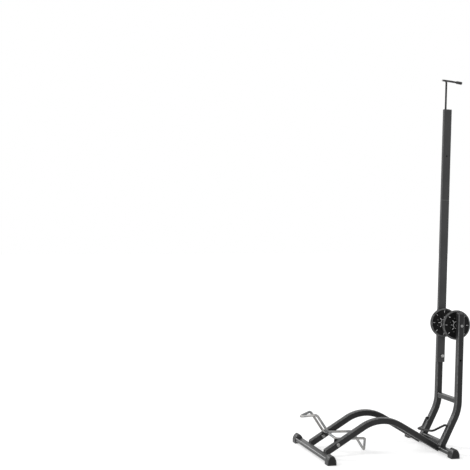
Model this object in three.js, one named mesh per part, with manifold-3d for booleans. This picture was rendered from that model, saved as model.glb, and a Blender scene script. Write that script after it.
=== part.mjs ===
import * as THREE from 'three';
import { mergeVertices } from 'three/addons/utils/BufferGeometryUtils.js';
import Module from 'manifold-3d';

// A floor rack that holds a bicycle either level, with one wheel rolled in between the rails, or standing up
// on its back wheel against the post. Millimetres, +Z up, the wheel rolls in along +X, +Y is the left side.
// The work is laid out from the middle of the front crossbar and moved to the rack's own middle at the end.

// Stock
const flatTube = { width: 30, height: 15, wall: 1.5, corner: 2.5 };
const squareTube = { width: 20, height: 20, wall: 1.5, corner: 3 };
const cradleRod = 10;
const stopRod = 9;
const hookRod = 8;
const boltSize = 8;
const screwSize = 5;

// Clearances
const weldGap = 0.3;
const seatGap = 0.3;
const holeClearance = 0.3;
const plugClearance = 0.3;
const capClearance = 0.2;
const discEndPlay = 0.5;
const floorClearance = 1;

// Base
const crossbarSpacing = 503;
const crossbarLength = 432;
const crossbarUnderside = 8;
const railCentres = 182;
const railLegAngle = 31;
const railBendRadius = 150;
const railRootHeight = 18.5;
const footCap = { width: 35.5, height: 38, beyondTube: 14, overTube: 22.5, edge: 1.5 };
const footCapArch = [[0, 1], [0.27, 0.96], [0.52, 0.87], [0.76, 0.71], [0.93, 0.53], [1, 0.37]];

// Wheel cradle: how far its pivot stands behind the front crossbar, and how high
const pivotSetback = 67;
const pivotHeight = 50.5;
const cradleTilt = { noseReach: 125, noseRise: 97.5, shoulderReach: 66, shoulderRise: 108.5 };
const cradleKnee = { reach: 15, rise: 31.5 };
const cradleSide = { rise: 17.5, length: 119, drop: 3 };
const cradleNoseWidth = 84;
const cradleSideWidth = 144;
const veeReach = 146;
const cradleBend = 14;
const noseBend = 9;
const lug = { thickness: 3, radius: 8.5, neck: 12 };

// Upright frame
const lean = 1.8;
const uprightSetback = 70;
const uprightFootOffset = 4;
const uprightLegAngle = 27;
const uprightBendRadius = 160;
const uprightAboveDiscs = 49;
const upperBraceHeight = 199;

// Wheel stop: a bar welded to the front of both uprights that reaches forward to a blunt point
const stopEndHeight = 96;
const stopShoulder = { setback: 25, width: 182, height: 108 };
const stopElbow = { setback: -15, width: 98, height: 75 };
const stopPoint = { setback: -58, height: 78 };
const stopBends = { shoulder: 9, elbow: 40, point: 18 };

// Guide discs
const discHeight = 503;
const guideDisc = {
  diameter: 120, hubDiameter: 26, hubLength: 14, webThickness: 5, rimWidth: 8, rimThickness: 11,
  ribCount: 8, ribThickness: 2.2, ribReach: 25, ribHeight: 11, tickReach: 10, tickHeight: 9,
  lightHoleCircle: 60, lightHole: 5,
};
const discBush = 12;
const spacerDiameter = 16;

// Post and hook
const postTop = 1391;
const postSeam = 1014;
const postBoltHeight = 364;
const postBelowBolt = 23;
const joinerLength = 120;
const spareHoleHeight = 1198;
const spareHole = 6.5;
const hookInside = 70;
const hookRise = 123;
const hookPoints = [[-18, -3, 0], [-45, -71, -12], [-27, -103, -20], [11, -118, -27]];
const hookBends = [9, 6, 15, 12];
const hookSleeve = { diameter: 12, length: 24 };

// Small parts
const boltHead = { diameter: 15, height: 4.5 };
const nut = { acrossFlats: 13, height: 6.5 };
const washer = { diameter: 16, thickness: 1.6 };
const screwHead = { diameter: 9.5, height: 2.8 };
const plug = { flange: 3, depth: 18, edge: 0.8 };
const hookBushDepth = 34;

// Facets
const roundSides = 16;
const rodSides = 10;
const discSides = 36;
const cornerSteps = 3;

const wasm = await Module();
wasm.setup();

const radians = THREE.MathUtils.degToRad;
const point = (x, y, z) => new THREE.Vector3(x, y, z);

// --- Solids

// Keeps position only, shares the vertices and turns the faces outward.
function closed(geometry) {
  const bare = new THREE.BufferGeometry();
  bare.setAttribute('position', geometry.getAttribute('position').clone());
  if (geometry.index) bare.setIndex(geometry.index.clone());
  const merged = mergeVertices(bare, 1e-4);
  const position = merged.getAttribute('position');
  const kept = [];
  let volume = 0;
  const [a, b, c] = [point(), point(), point()];
  for (let i = 0; i < merged.index.count; i += 3) {
    const corners = [0, 1, 2].map((k) => merged.index.getX(i + k));
    if (new Set(corners).size < 3) continue;
    [a, b, c].forEach((v, k) => v.fromBufferAttribute(position, corners[k]));
    volume += a.dot(b.cross(c));
    kept.push(corners);
  }
  merged.setIndex(kept.flatMap(([p, q, r]) => (volume < 0 ? [p, r, q] : [p, q, r])));
  return merged;
}

function toManifold(geometry) {
  const source = closed(geometry);
  return new wasm.Manifold(new wasm.Mesh({
    numProp: 3,
    vertProperties: new Float32Array(source.getAttribute('position').array),
    triVerts: new Uint32Array(source.index.array),
  }));
}

function fromManifold(solid) {
  const mesh = solid.getMesh();
  const geometry = new THREE.BufferGeometry();
  geometry.setAttribute('position', new THREE.BufferAttribute(new Float32Array(mesh.vertProperties), 3));
  geometry.setIndex(Array.from(mesh.triVerts));
  return geometry;
}

function cut(geometry, ...tools) {
  return fromManifold(tools.reduce((left, tool) => left.subtract(toManifold(tool)), toManifold(geometry)));
}

function join(geometry, ...others) {
  return fromManifold(others.reduce((whole, other) => whole.add(toManifold(other)), toManifold(geometry)));
}

function block(low, high) {
  const size = high.clone().sub(low);
  return new THREE.BoxGeometry(size.x, size.y, size.z)
    .translate((low.x + high.x) / 2, (low.y + high.y) / 2, (low.z + high.z) / 2);
}

// A plain round bar along Y, used as a solid and as the drill for cross holes.
function roundBar(diameter, fromY, toY, x = 0, z = 0) {
  return new THREE.CylinderGeometry(diameter / 2, diameter / 2, Math.abs(toY - fromY), roundSides)
    .translate(x, (fromY + toY) / 2, z);
}

// --- Paths of bent tube and bar

// Straight runs between corners, each corner rounded by an arc. The stations sit only where the tube starts,
// ends and bends.
class BentPath extends THREE.Curve {
  constructor(corners, radii, stepsPerBend, loop = false) {
    super();
    this.loop = loop;
    this.stations = [];
    const count = corners.length;
    corners.forEach((corner, i) => {
      const before = corners[(i + count - 1) % count];
      const after = corners[(i + 1) % count];
      if (!loop && i === 0) this.addStation(corner, after.clone().sub(corner));
      else if (!loop && i === count - 1) this.addStation(corner, corner.clone().sub(before));
      else this.addBend(before, corner, after, radii[i], stepsPerBend);
    });
  }

  addStation(place, direction) {
    this.stations.push({ place: place.clone(), direction: direction.clone().normalize() });
  }

  addBend(before, corner, after, radius, steps) {
    const inward = corner.clone().sub(before).normalize();
    const outward = after.clone().sub(corner).normalize();
    const turn = inward.angleTo(outward);
    const run = radius * Math.tan(turn / 2);
    const start = corner.clone().addScaledVector(inward, -run);
    const toCentre = outward.clone().addScaledVector(inward, -inward.dot(outward)).normalize();
    for (let i = 0; i <= steps; i += 1) {
      const angle = (turn * i) / steps;
      const place = start.clone()
        .addScaledVector(inward, radius * Math.sin(angle))
        .addScaledVector(toCentre, radius * (1 - Math.cos(angle)));
      const direction = inward.clone().multiplyScalar(Math.cos(angle)).addScaledVector(toCentre, Math.sin(angle));
      this.addStation(place, direction);
    }
  }

  get steps() {
    return this.loop ? this.stations.length : this.stations.length - 1;
  }

  station(u) {
    return this.stations[Math.round(u * this.steps) % this.stations.length];
  }

  getPointAt(u, target = point()) {
    return target.copy(this.station(u).place);
  }

  getTangentAt(u, target = point()) {
    return target.copy(this.station(u).direction);
  }
}

// How far the middle of a rounded corner lies from the sharp corner.
function cornerCut(radius, turn) {
  return radius * (1 / Math.cos(turn / 2) - 1);
}

function roundedOutline(width, height, corner, steps) {
  const points = [];
  [[1, -1], [1, 1], [-1, 1], [-1, -1]].forEach(([sx, sy], quarter) => {
    for (let i = 0; i <= steps; i += 1) {
      const angle = ((quarter - 1 + i / steps) * Math.PI) / 2;
      points.push(new THREE.Vector2(
        sx * (width / 2 - corner) + corner * Math.cos(angle), sy * (height / 2 - corner) + corner * Math.sin(angle),
      ));
    }
  });
  return points;
}

function circle(diameter, sidesRound) {
  return Array.from({ length: sidesRound }, (_, i) => {
    const angle = (2 * Math.PI * i) / sidesRound;
    return new THREE.Vector2((diameter / 2) * Math.cos(angle), (diameter / 2) * Math.sin(angle));
  });
}

// The outline of a tube's inside, drawn in by a clearance.
function boreOutline({ width, height, wall, corner }, clearance = 0) {
  const inset = 2 * (wall + clearance);
  return roundedOutline(width - inset, height - inset, Math.max(corner - wall, 0.5), 1);
}

function tubeSection(stock) {
  const section = new THREE.Shape(roundedOutline(stock.width, stock.height, stock.corner, cornerSteps));
  section.holes.push(new THREE.Path(boreOutline(stock)));
  return section;
}

function sweep(section, path) {
  return new THREE.ExtrudeGeometry(section, {
    steps: path.steps, extrudePath: path, bevelEnabled: false,
  });
}

// A straight length of tube, its width along X, that runs along Z or along Y.
function tubeAlongZ(stock, fromZ, toZ) {
  return new THREE.ExtrudeGeometry(tubeSection(stock), { depth: toZ - fromZ, bevelEnabled: false })
    .translate(0, 0, fromZ);
}

function tubeAlongY(stock, length) {
  return tubeAlongZ(stock, -length / 2, length / 2).rotateX(Math.PI / 2);
}

function rodAlong(path, diameter) {
  return sweep(new THREE.Shape(circle(diameter, rodSides)), path);
}

function rodLoop(path, diameter) {
  return new THREE.TubeGeometry(path, path.steps, diameter / 2, rodSides, true);
}

// --- Finishes

const painted = new THREE.MeshStandardMaterial({ color: 0x4a4b4d, roughness: 0.5, metalness: 0.35 });
const blackBar = new THREE.MeshStandardMaterial({ color: 0x26272a, roughness: 0.45, metalness: 0.3 });
const plated = new THREE.MeshStandardMaterial({ color: 0xb4b6b8, roughness: 0.3, metalness: 0.9 });
const blackPlastic = new THREE.MeshStandardMaterial({ color: 0x1c1c1e, roughness: 0.65, metalness: 0 });
const steel = new THREE.MeshStandardMaterial({ color: 0x9a9b9d, roughness: 0.4, metalness: 0.85 });

function addPart(group, name, geometry, material) {
  const mesh = new THREE.Mesh(closed(geometry), material.clone());
  mesh.name = name;
  group.add(mesh);
  return mesh;
}

// --- Places worked out from the sizes above

const railY = railCentres / 2;
const innerFace = railY - squareTube.width / 2;
const outerFace = railY + squareTube.width / 2;
const crossbarTop = crossbarUnderside + flatTube.height;
const leanAngle = radians(lean);
const uprightX = crossbarSpacing + uprightSetback;
const uprightHeight = discHeight + uprightAboveDiscs;
const postFoot = postBoltHeight - postBelowBolt;
const hookTop = postTop + hookRise;
const sides = [['left', 1], ['right', -1]];

// A point on the leaning line that the uprights' straight part and the post follow.
function onUpright(along) {
  return point(uprightX + along * Math.sin(leanAngle), 0, along * Math.cos(leanAngle));
}

// Washers, nuts and bolts are turned about Y, their heads towards +Y.
function bolt(diameter, head, length) {
  const profile = [
    [0, -length], [diameter / 2 - 0.5, -length], [diameter / 2, -length + 0.5], [diameter / 2, 0],
    [head.diameter / 2, 0], [head.diameter / 2, head.height * 0.35], [head.diameter * 0.36, head.height * 0.8],
    [head.diameter * 0.16, head.height], [0, head.height],
  ];
  return new THREE.LatheGeometry(profile.map(([r, y]) => new THREE.Vector2(r, y)), roundSides);
}

function sleeve(outer, bore, fromY, toY) {
  const profile = [[bore / 2, fromY], [outer / 2, fromY], [outer / 2, toY], [bore / 2, toY], [bore / 2, fromY]];
  return new THREE.LatheGeometry(profile.map(([r, y]) => new THREE.Vector2(r, y)), roundSides);
}

// The nut's inner face is at Y = 0 and it grows towards -Y.
function hexNut() {
  const corner = nut.acrossFlats / Math.sqrt(3);
  const hexagon = new THREE.Shape(circle(2 * corner, 6));
  hexagon.holes.push(new THREE.Path(circle(boltSize + holeClearance, roundSides)));
  return new THREE.ExtrudeGeometry(hexagon, { depth: nut.height, bevelEnabled: false }).rotateX(Math.PI / 2);
}

// Puts a part made about Y on one side of the rack: the right side is the left one turned half round.
function placeOnSide(mesh, side, x, z) {
  mesh.position.set(x, 0, z);
  mesh.rotation.z = side > 0 ? 0 : Math.PI;
  return mesh;
}

// --- Base

function footCapBody() {
  const { width, height, beyondTube, overTube, edge } = footCap;
  const half = width / 2 - edge;
  const flank = footCapArch.map(([x, z]) => [x * half, edge + z * (height - 2 * edge)]);
  const mirrored = flank.slice(1).reverse().map(([x, z]) => [-x, z]);
  const outline = [[-half, edge], [half, edge], ...flank.reverse(), ...mirrored.reverse()];
  const body = new THREE.ExtrudeGeometry(new THREE.Shape(outline.map(([x, z]) => new THREE.Vector2(x, z))), {
    depth: beyondTube + overTube - 2 * edge, bevelSize: edge, bevelThickness: edge, bevelSegments: 2,
  }).translate(0, 0, edge - beyondTube).rotateX(Math.PI / 2);
  const socket = {
    ...flatTube, width: flatTube.width + 2 * capClearance, height: flatTube.height + 2 * capClearance,
  };
  const opening = new THREE.ExtrudeGeometry(
    new THREE.Shape(roundedOutline(socket.width, socket.height, socket.corner, cornerSteps)),
    { depth: overTube + 1, bevelEnabled: false },
  ).translate(0, 0, -capClearance).rotateX(Math.PI / 2).translate(0, 0, crossbarUnderside + flatTube.height / 2);
  return cut(body, opening);
}

function addCrossbar(group, name, x) {
  const bar = tubeAlongY(flatTube, crossbarLength).translate(x, 0, crossbarUnderside + flatTube.height / 2);
  addPart(group, `${name}_crossbar`, bar, painted);
  for (const [side, sign] of sides) {
    const cap = addPart(group, `${name}_cap_${side}`, footCapBody(), blackPlastic);
    cap.position.set(x, (sign * crossbarLength) / 2, 0);
    cap.rotation.z = sign > 0 ? 0 : Math.PI;
  }
}

function archPath() {
  const rise = Math.tan(radians(railLegAngle));
  const middle = crossbarSpacing / 2;
  const rootX = flatTube.width / 2;
  const runOn = squareTube.width;
  const apex = point(middle, 0, railRootHeight + (middle - rootX) * rise);
  const start = point(rootX - runOn, 0, railRootHeight - runOn * rise);
  const end = point(crossbarSpacing - start.x, 0, start.z);
  return new BentPath([start, apex, end], [0, railBendRadius, 0], 12);
}

function addRail(group, side, sign) {
  const overlong = sweep(tubeSection(squareTube), archPath()).translate(0, sign * railY, 0);
  const faceX = flatTube.width / 2;
  const far = 60;
  const frontCut = block(point(faceX - far, -far * 4, -far), point(faceX, far * 4, far));
  const rearX = crossbarSpacing - faceX;
  const rearCut = block(point(rearX, -far * 4, -far), point(rearX + far, far * 4, far));
  const drill = roundBar(
    boltSize + holeClearance, sign * (innerFace - 5), sign * (outerFace + 5), pivotSetback, pivotHeight,
  );
  addPart(group, `arch_rail_${side}`, cut(overlong, frontCut, rearCut, drill), painted);
}

// --- Wheel cradle

function cradlePath() {
  const [x, z] = [pivotSetback, pivotHeight];
  const corner = (reach, halfWidth, rise) => point(x + reach, halfWidth, z + rise);
  const noseY = cradleNoseWidth / 2;
  const sideY = cradleSideWidth / 2;
  const sideEnd = corner(cradleSide.length + 4, -sideY, cradleSide.rise - cradleSide.drop);
  const lowest = cradleRod / 2 + floorClearance;
  const veeTurn = 2 * Math.atan2(sideEnd.z - lowest, sideY);
  const vee = point(x + veeReach, 0, lowest - cornerCut(cradleBend, veeTurn));
  const oneSide = (sign) => [
    corner(-cradleTilt.shoulderReach, sign * noseY, cradleTilt.shoulderRise),
    corner(-cradleKnee.reach, sign * noseY, cradleKnee.rise),
    corner(4, sign * sideY, cradleSide.rise),
    point(sideEnd.x, sign * sideY, sideEnd.z),
  ];
  const nose = corner(-cradleTilt.noseReach, 0, cradleTilt.noseRise);
  const corners = [nose, ...oneSide(-1), vee, ...oneSide(1).reverse()];
  return new BentPath(corners, corners.map((_, i) => (i === 0 ? noseBend : cradleBend)), 4, true);
}

// A pierced plate that hangs under the cradle's side bar and is shaped to it at the top.
function lugPlate(sign, loop) {
  const plateY = innerFace - seatGap - washer.thickness - seatGap;
  const outline = new THREE.Shape();
  outline.moveTo(-lug.neck / 2, cradleSide.rise);
  outline.lineTo(-lug.radius, 0);
  outline.absarc(0, 0, lug.radius, Math.PI, 2 * Math.PI);
  outline.lineTo(lug.neck / 2 + 2, cradleSide.rise);
  outline.holes.push(new THREE.Path(circle(boltSize + holeClearance, roundSides)));
  const plate = new THREE.ExtrudeGeometry(outline, {
    depth: lug.thickness, curveSegments: 5, bevelEnabled: false,
  }).rotateX(Math.PI / 2).translate(pivotSetback, sign > 0 ? plateY : -plateY + lug.thickness, pivotHeight);
  return cut(plate, loop);
}

function addCradle(group) {
  const path = cradlePath();
  addPart(group, 'wheel_cradle', rodLoop(path, cradleRod), plated);
  const clearLoop = rodLoop(path, cradleRod + 2 * weldGap);
  for (const [side, sign] of sides) {
    addPart(group, `cradle_lug_${side}`, lugPlate(sign, clearLoop), painted);
    const shank = outerFace - innerFace + seatGap * 4 + washer.thickness + lug.thickness + nut.height;
    const head = bolt(boltSize, boltHead, shank).translate(0, outerFace + seatGap, 0);
    placeOnSide(addPart(group, `pivot_bolt_${side}`, head, plated), sign, pivotSetback, pivotHeight);
    const washerY = innerFace - seatGap;
    const ring = sleeve(washer.diameter, boltSize + holeClearance, washerY - washer.thickness, washerY);
    placeOnSide(addPart(group, `pivot_washer_${side}`, ring, plated), sign, pivotSetback, pivotHeight);
    const nutY = washerY - washer.thickness - seatGap - lug.thickness - seatGap;
    const lockNut = hexNut().translate(0, nutY, 0);
    placeOnSide(addPart(group, `pivot_nut_${side}`, lockNut, plated), sign, pivotSetback, pivotHeight);
  }
}

// --- Upright frame

// The middle of the uprights' lower leg at a height.
function uprightLegX(height) {
  return crossbarSpacing + uprightFootOffset + (height - crossbarTop) * Math.tan(radians(uprightLegAngle));
}

function uprightPath() {
  const legSlope = Math.tan(radians(uprightLegAngle));
  const leanSlope = Math.tan(leanAngle);
  const footX = uprightLegX(crossbarTop);
  const kneeZ = (uprightX - footX + legSlope * crossbarTop) / (legSlope - leanSlope);
  const knee = point(uprightX + leanSlope * kneeZ, 0, kneeZ);
  const runOn = squareTube.width;
  const start = point(footX - runOn * legSlope, 0, crossbarTop - runOn);
  return new BentPath([start, knee, onUpright(uprightHeight)], [0, uprightBendRadius, 0], 7);
}

function addUpright(group, side, sign) {
  const overlong = sweep(tubeSection(squareTube), uprightPath()).translate(0, sign * railY, 0);
  const reach = 80;
  const footCut = block(
    point(crossbarSpacing - reach, -reach * 4, -reach), point(crossbarSpacing + reach, reach * 4, crossbarTop),
  );
  const drills = [discHeight, postBoltHeight].map((height) => {
    const at = onUpright(height);
    return roundBar(boltSize + holeClearance, sign * (innerFace - 5), sign * (outerFace + 5), at.x, at.z);
  });
  addPart(group, `upright_${side}`, cut(overlong, footCut, ...drills), painted);
}

// A moulded plug for a tube's end: a flange the size of the tube and a stem that fits inside it.
function tubePlug(stock, depth) {
  const { edge } = plug;
  const face = roundedOutline(stock.width - 2 * edge, stock.height - 2 * edge, stock.corner - edge, cornerSteps);
  const flange = new THREE.ExtrudeGeometry(new THREE.Shape(face), {
    depth: plug.flange - edge, bevelSize: edge, bevelThickness: edge, bevelSegments: 1,
  });
  const stem = new THREE.ExtrudeGeometry(
    new THREE.Shape(boreOutline(stock, plugClearance)),
    { depth: depth + 0.4, bevelEnabled: false },
  ).translate(0, 0, -depth);
  const below = block(point(-stock.width, -stock.width, -5), point(stock.width, stock.width, 0));
  return join(cut(flange, below), stem);
}

function addBrace(group, name, x, z) {
  const length = 2 * (innerFace - weldGap);
  addPart(group, name, tubeAlongY(squareTube, length).translate(x, 0, z), painted);
}

function addWheelStop(group) {
  const faceX = uprightLegX(stopEndHeight) - squareTube.width / 2 / Math.cos(radians(uprightLegAngle));
  const place = ({ setback, width = 0, height }, sign) => point(
    crossbarSpacing + setback, (sign * width) / 2, height,
  );
  const half = (sign) => [
    point(faceX + stopRod, sign * railY, stopEndHeight - stopRod / 2),
    place(stopShoulder, sign), place(stopElbow, sign),
  ];
  const corners = [...half(-1), place(stopPoint, 1), ...half(1).reverse()];
  const { shoulder, elbow, point: tip } = stopBends;
  const rod = rodAlong(new BentPath(corners, [0, shoulder, elbow, tip, elbow, shoulder, 0], 5), stopRod);
  const clearTube = new THREE.BoxGeometry(
    squareTube.width + 2 * weldGap, 3 * railCentres, squareTube.height * 20,
  ).rotateY(radians(uprightLegAngle)).translate(uprightLegX(stopEndHeight), 0, stopEndHeight);
  addPart(group, 'wheel_stop', cut(rod, clearTube), blackBar);
}

// --- Guide discs, turned about Y

function discBody() {
  const d = guideDisc;
  const rim = d.diameter / 2;
  const bore = discBush / 2 + 0.1;
  const half = [
    [bore, d.hubLength / 2], [d.hubDiameter / 2 - 1, d.hubLength / 2], [d.hubDiameter / 2, d.hubLength / 2 - 1],
    [d.hubDiameter / 2 + 1, d.webThickness / 2], [rim - d.rimWidth, d.webThickness / 2],
    [rim - d.rimWidth + 1.5, d.rimThickness / 2 - 0.5], [rim - 2.5, d.rimThickness / 2],
    [rim - 0.6, d.rimThickness / 2 - 1.6], [rim, d.rimThickness / 2 - 3.5],
  ];
  const mirrored = half.map(([r, y]) => [r, -y]).reverse();
  const profile = [...half, ...mirrored, half[0]].map(([r, y]) => new THREE.Vector2(r, y));
  return new THREE.LatheGeometry(profile, discSides);
}

// Short radial ribs round the hub and ticks inside the rim, the same on both faces, with a hole between each pair.
function guideDiscSolid() {
  const d = guideDisc;
  const rimInside = d.diameter / 2 - d.rimWidth;
  const step = (2 * Math.PI) / d.ribCount;
  const radial = (from, to, height) => new THREE.BoxGeometry(to - from, height, d.ribThickness)
    .translate((from + to) / 2, 0, 0);
  const ribs = [];
  const holes = [];
  for (let i = 0; i < d.ribCount; i += 1) {
    ribs.push(radial(d.hubDiameter / 2 - 1.5, d.ribReach, d.ribHeight).rotateY(i * step));
    ribs.push(radial(rimInside - d.tickReach, rimInside + 2, d.tickHeight).rotateY(i * step));
    const hole = new THREE.CylinderGeometry(d.lightHole / 2, d.lightHole / 2, d.rimThickness, 8);
    holes.push(hole.translate(d.lightHoleCircle / 2, 0, 0).rotateY((i + 0.5) * step));
  }
  return cut(join(discBody(), ...ribs), ...holes);
}

// --- Leaning parts, in a group whose Z runs up the uprights

const postOuterFace = innerFace - seatGap;
const postInnerFace = postOuterFace - flatTube.height;
const postY = (postOuterFace + postInnerFace) / 2;
const postX = (squareTube.width - flatTube.width) / 2;
const hubOuter = postInnerFace - discEndPlay;
const discY = hubOuter - guideDisc.hubLength / 2;

function addDisc(group, side, sign) {
  const body = guideDiscSolid().translate(0, discY, 0);
  placeOnSide(addPart(group, `guide_disc_${side}`, body, blackPlastic), sign, 0, discHeight);
  const bush = sleeve(discBush, boltSize + holeClearance, discY - guideDisc.hubLength / 2, hubOuter);
  placeOnSide(addPart(group, `disc_bush_${side}`, bush, steel), sign, 0, discHeight);
  const nutY = discY - guideDisc.hubLength / 2 - discEndPlay;
  const shank = outerFace + seatGap - nutY + nut.height + 1;
  const axle = bolt(boltSize, boltHead, shank).translate(0, outerFace + seatGap, 0);
  placeOnSide(addPart(group, `disc_bolt_${side}`, axle, steel), sign, 0, discHeight);
  placeOnSide(addPart(group, `disc_nut_${side}`, hexNut().translate(0, nutY, 0), steel), sign, 0, discHeight);
}

function addPost(group) {
  const length = (fromZ, toZ) => tubeAlongZ(flatTube, fromZ, toZ).translate(postX, postY, 0);
  const drill = (diameter, z, x = 0) => roundBar(diameter, postInnerFace - 3, postOuterFace + 3, x, z);
  const outerDrill = (diameter, z) => roundBar(diameter, postY, postOuterFace + 3, postX, z);
  const screwHeights = [postSeam - joinerLength / 3, postSeam + joinerLength / 3];
  const lower = cut(
    length(postFoot, postSeam - seatGap / 2), drill(boltSize + holeClearance, discHeight),
    drill(boltSize + holeClearance, postBoltHeight), outerDrill(screwSize + holeClearance, screwHeights[0]),
  );
  addPart(group, 'post_lower', lower, painted);
  const upper = cut(
    length(postSeam + seatGap / 2, postTop), drill(spareHole, spareHoleHeight, postX),
    outerDrill(screwSize + holeClearance, screwHeights[1]),
  );
  addPart(group, 'post_upper', upper, painted);

  const inside = {
    width: flatTube.width - 2 * flatTube.wall - 2 * plugClearance,
    height: flatTube.height - 2 * flatTube.wall - 2 * plugClearance, wall: flatTube.wall, corner: 1.5,
  };
  const joiner = tubeAlongZ(inside, postSeam - joinerLength / 2, postSeam + joinerLength / 2)
    .translate(postX, postY, 0);
  const joinerDrills = screwHeights.map((z) => outerDrill(screwSize + holeClearance, z));
  addPart(group, 'post_joiner', cut(joiner, ...joinerDrills), steel);
  const screwLength = flatTube.wall + plugClearance + flatTube.wall + 3;
  screwHeights.forEach((z, i) => {
    const screw = bolt(screwSize, screwHead, screwLength).translate(postX, postOuterFace + seatGap, z);
    addPart(group, `joiner_screw_${['lower', 'upper'][i]}`, screw, steel);
  });

  const boltLength = outerFace - postInnerFace + 3 * seatGap + nut.height + 1;
  const through = bolt(boltSize, boltHead, boltLength).translate(0, outerFace + seatGap, postBoltHeight);
  addPart(group, 'post_bolt', through, steel);
  addPart(group, 'post_nut', hexNut().translate(0, postInnerFace - seatGap, postBoltHeight), steel);
  const foot = tubePlug(flatTube, plug.depth - 8).rotateX(Math.PI).translate(postX, postY, postFoot - seatGap);
  addPart(group, 'post_foot_plug', foot, blackPlastic);
}

// The hook's stem stands against the front of the post's inside.
const hookX = postX - (flatTube.width / 2 - flatTube.wall - plugClearance - 1 - hookRod / 2);

function hookPath() {
  const corners = [
    point(hookX, postY, postTop - hookInside), point(hookX, postY, hookTop),
    ...hookPoints.map(([x, y, z]) => point(hookX + x, postY + y, hookTop + z)),
  ];
  return new BentPath(corners, [0, ...hookBends], 5);
}

function addHook(group) {
  const bushTop = postTop + seatGap;
  const bush = tubePlug(flatTube, hookBushDepth).translate(postX, postY, bushTop);
  const bore = new THREE.CylinderGeometry(
    hookRod / 2 + holeClearance, hookRod / 2 + holeClearance, hookBushDepth * 3, roundSides,
  ).rotateX(Math.PI / 2).translate(hookX, postY, bushTop);
  addPart(group, 'hook_bush', cut(bush, bore), blackPlastic);

  const path = hookPath();
  addPart(group, 'wheel_hook', rodAlong(path, hookRod), blackBar);

  // The sleeve is a closed cap pushed over the hook's free end.
  const tip = path.stations.at(-1);
  const inner = hookRod / 2 + seatGap;
  const profile = [
    [inner, 0], [hookSleeve.diameter / 2 - 1, 0], [hookSleeve.diameter / 2, 1],
    [hookSleeve.diameter / 2, hookSleeve.length - 2], [hookSleeve.diameter / 2 - 2, hookSleeve.length],
    [0, hookSleeve.length], [0, hookSleeve.length - 3], [inner, hookSleeve.length - 3], [inner, 0],
  ].map(([r, y]) => new THREE.Vector2(r, y));
  const cap = addPart(group, 'hook_sleeve', new THREE.LatheGeometry(profile, roundSides), blackPlastic);
  cap.quaternion.setFromUnitVectors(point(0, 1, 0), tip.direction);
  cap.position.copy(tip.place).addScaledVector(tip.direction, seatGap + 3 - hookSleeve.length);
}

// --- Assembly

function buildRack() {
  const rack = new THREE.Group();
  const cradleNoseX = pivotSetback - cradleTilt.noseReach + cornerCut(noseBend, Math.PI - 2 * Math.atan2(
    cradleNoseWidth / 2, cradleTilt.noseReach - cradleTilt.shoulderReach,
  )) - cradleRod / 2;
  const discRearX = onUpright(discHeight).x + guideDisc.diameter / 2;
  rack.position.x = -(cradleNoseX + discRearX) / 2;

  addCrossbar(rack, 'front', 0);
  addCrossbar(rack, 'rear', crossbarSpacing);
  for (const [side, sign] of sides) {
    addRail(rack, side, sign);
    addUpright(rack, side, sign);
  }
  addCradle(rack);
  const footX = crossbarSpacing + uprightFootOffset;
  const lowerBraceX = footX + (squareTube.height / 2) * Math.tan(radians(uprightLegAngle));
  addBrace(rack, 'lower_brace', lowerBraceX, crossbarTop + squareTube.height / 2);
  const upperBrace = onUpright(upperBraceHeight);
  addBrace(rack, 'upper_brace', upperBrace.x, upperBrace.z);
  addWheelStop(rack);

  const leaning = new THREE.Group();
  leaning.position.x = uprightX;
  leaning.rotation.y = leanAngle;
  rack.add(leaning);
  for (const [side, sign] of sides) {
    const cap = tubePlug(squareTube, plug.depth).translate(0, sign * railY, uprightHeight + seatGap);
    addPart(leaning, `upright_plug_${side}`, cap, blackPlastic);
    addDisc(leaning, side, sign);
  }
  const spacer = sleeve(spacerDiameter, boltSize + holeClearance, postInnerFace, postOuterFace);
  placeOnSide(addPart(leaning, 'disc_spacer_right', spacer, steel), -1, 0, discHeight);
  addPost(leaning);
  addHook(leaning);
  return rack;
}

export default buildRack();
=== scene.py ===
import math

import bmesh
import bpy
from mathutils import Matrix, Vector, noise


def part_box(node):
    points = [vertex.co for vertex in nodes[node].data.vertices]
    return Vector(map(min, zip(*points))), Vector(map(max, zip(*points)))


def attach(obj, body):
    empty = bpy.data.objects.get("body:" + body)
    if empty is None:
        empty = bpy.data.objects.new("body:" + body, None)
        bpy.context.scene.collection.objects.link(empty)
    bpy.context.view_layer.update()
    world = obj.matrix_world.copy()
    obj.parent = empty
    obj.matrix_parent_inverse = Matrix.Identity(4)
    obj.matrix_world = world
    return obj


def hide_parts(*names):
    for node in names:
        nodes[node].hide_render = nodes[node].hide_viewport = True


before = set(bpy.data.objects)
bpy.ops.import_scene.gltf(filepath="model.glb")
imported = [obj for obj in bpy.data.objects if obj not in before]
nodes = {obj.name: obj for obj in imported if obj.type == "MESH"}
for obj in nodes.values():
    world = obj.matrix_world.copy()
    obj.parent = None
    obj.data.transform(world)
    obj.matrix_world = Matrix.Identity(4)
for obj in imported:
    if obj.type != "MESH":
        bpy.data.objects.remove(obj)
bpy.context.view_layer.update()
print("frame loaded with", len(nodes), "nodes")

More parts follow.
